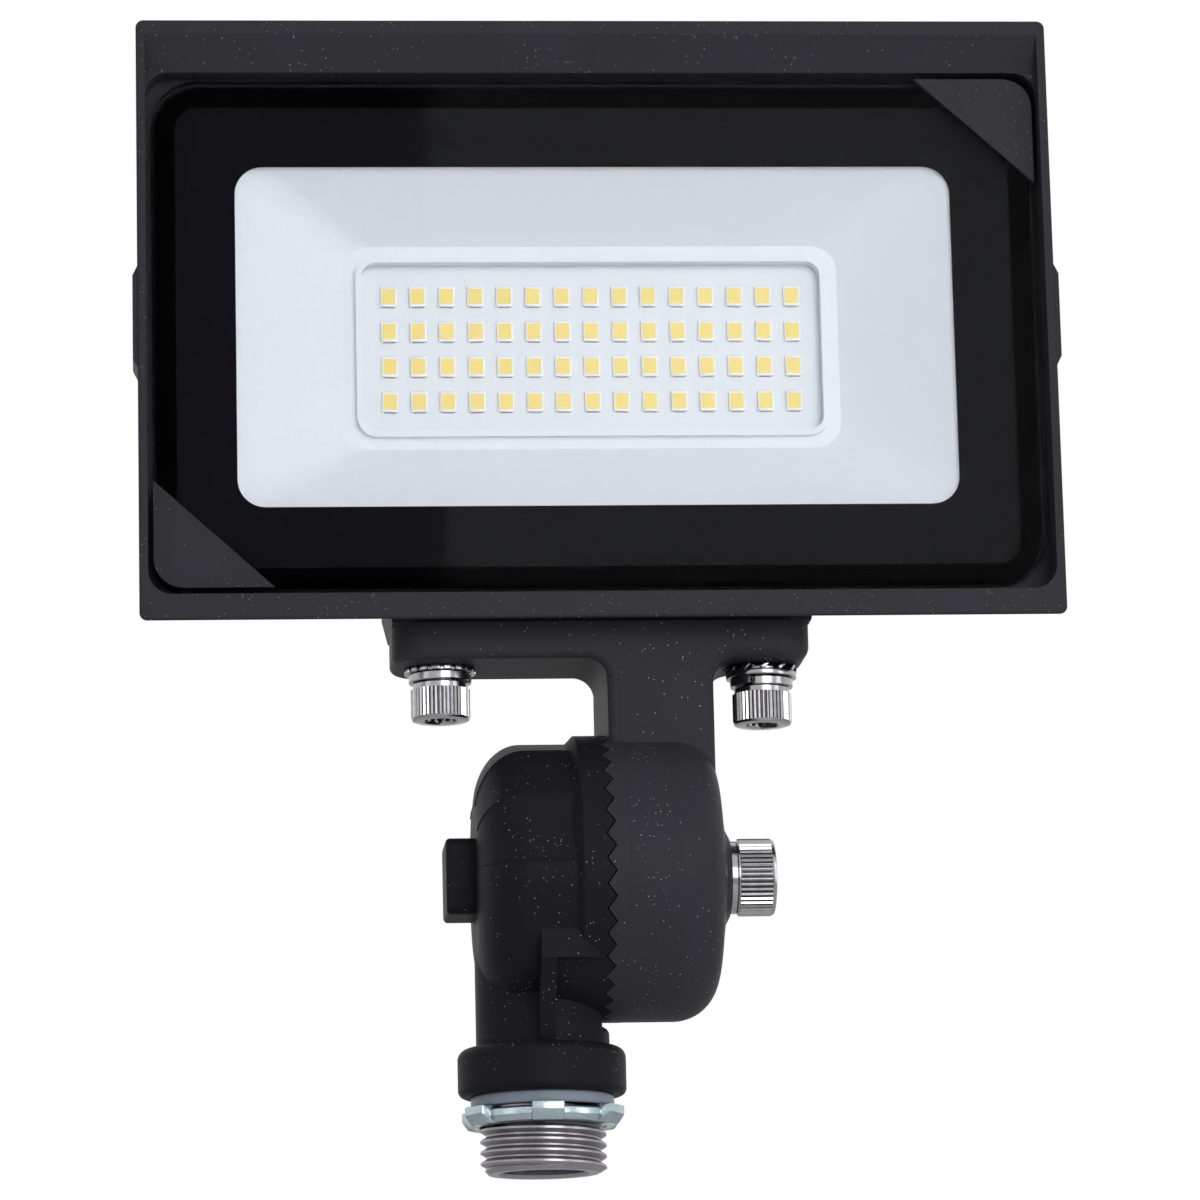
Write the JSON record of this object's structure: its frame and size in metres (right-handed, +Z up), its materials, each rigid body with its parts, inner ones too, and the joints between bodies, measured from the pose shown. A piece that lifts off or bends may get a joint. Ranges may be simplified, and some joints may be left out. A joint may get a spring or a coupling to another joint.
{
  "type": "led floodlight",
  "caption": "Rectangular outdoor LED floodlight with a finned cast housing, a toothed tilting knuckle arm and a threaded nipple with locknut.",
  "frame": {"origin": "on the nipple's axis, at the flange's lower face", "axes": "+X to the lamp's right seen from the front, +Y behind the lamp, +Z up along the nipple's axis; the lamp shines towards -Y"},
  "size_m": [0.1558, 0.048, 0.1931],
  "materials": {
    "cast_body": "charcoal textured powder coat on die-cast aluminium",
    "stainless": "bright turned and knurled stainless steel",
    "zinc": "bright zinc plating on die-cast zinc",
    "insert_steel": "plain machined steel",
    "grey_rubber": "smooth blue-grey rubber",
    "silicone": "matt grey silicone",
    "black_rubber": "matt black rubber",
    "clear_glass": "clear toughened glass with a black printed border on its inner face",
    "white_reflector": "satin white polycarbonate",
    "board_white": "white solder mask on an aluminium board",
    "led_package": "white package with a yellow phosphor window",
    "pad_grey": "soft heat-conducting sheet",
    "chip_black": "moulded black epoxy",
    "surge_blue": "blue dipped ceramic",
    "connector_white": "natural white nylon",
    "breather_black": "moulded black nylon",
    "earth_green": "yellow passivated steel"
  },
  "bodies": {
    "hub": {"knuckle_base": "cast_body", "pivot_insert": "insert_steel", "knuckle_seal": "silicone"},
    "head": {"arm": "cast_body", "housing": "cast_body", "corner_clamps": "cast_body", "arm_seal": "silicone", "arm_screws": "stainless", "arm_spring_washers": "stainless", "flat_toothed_washer": "stainless", "twisted_toothed_washer": "stainless", "front_glass": "clear_glass", "glass_gasket": "silicone", "reflector": "white_reflector", "reflector_screws": "insert_steel", "led_board": "board_white", "leds": "led_package", "thermal_pad": "pad_grey", "driver_chips": "chip_black", "rectifier": "chip_black", "surge_disc": "surge_blue", "fuse": "chip_black", "lead_connector": "connector_white", "board_screws": "insert_steel", "earth_screw": "earth_green", "wire_grommet": "black_rubber", "breather_plug": "breather_black", "breather_seal": "black_rubber"},
    "gasket": {"hub_gasket": "grey_rubber"},
    "nut": {"locknut": "zinc"},
    "washer": {"pivot_washer": "stainless"},
    "bolt": {"pivot_bolt": "stainless"}
  },
  "joints": [
    {"name": "tilt", "type": "hinge", "parent": "hub", "child": "head", "pos_m": [0, 0, 0.03635], "axis": [1, 0, 0], "range_deg": [-90, 90]},
    {"name": "pivot_bolt_travel", "type": "slide", "parent": "hub", "child": "washer", "axis": [1, 0, 0], "range_m": [0, 0.0024]},
    {"name": "pivot_bolt_turn", "type": "hinge", "parent": "washer", "child": "bolt", "pos_m": [0, 0, 0.03635], "axis": [1, 0, 0], "range_deg": [0, 720]},
    {"name": "locknut_travel", "type": "slide", "parent": "hub", "child": "gasket", "axis": [0, 0, -1], "range_m": [0, 0.0036]},
    {"name": "locknut_turn", "type": "hinge", "parent": "gasket", "child": "nut", "pos_m": [0, 0, 0], "axis": [0, 0, 1], "range_deg": [-720, 0]}
  ],
  "couplings": [
    {"joint": "pivot_bolt_turn", "follows": "pivot_bolt_travel", "rad_per_m": 5026.5},
    {"joint": "locknut_turn", "follows": "locknut_travel", "rad_per_m": -3463.7}
  ]
}
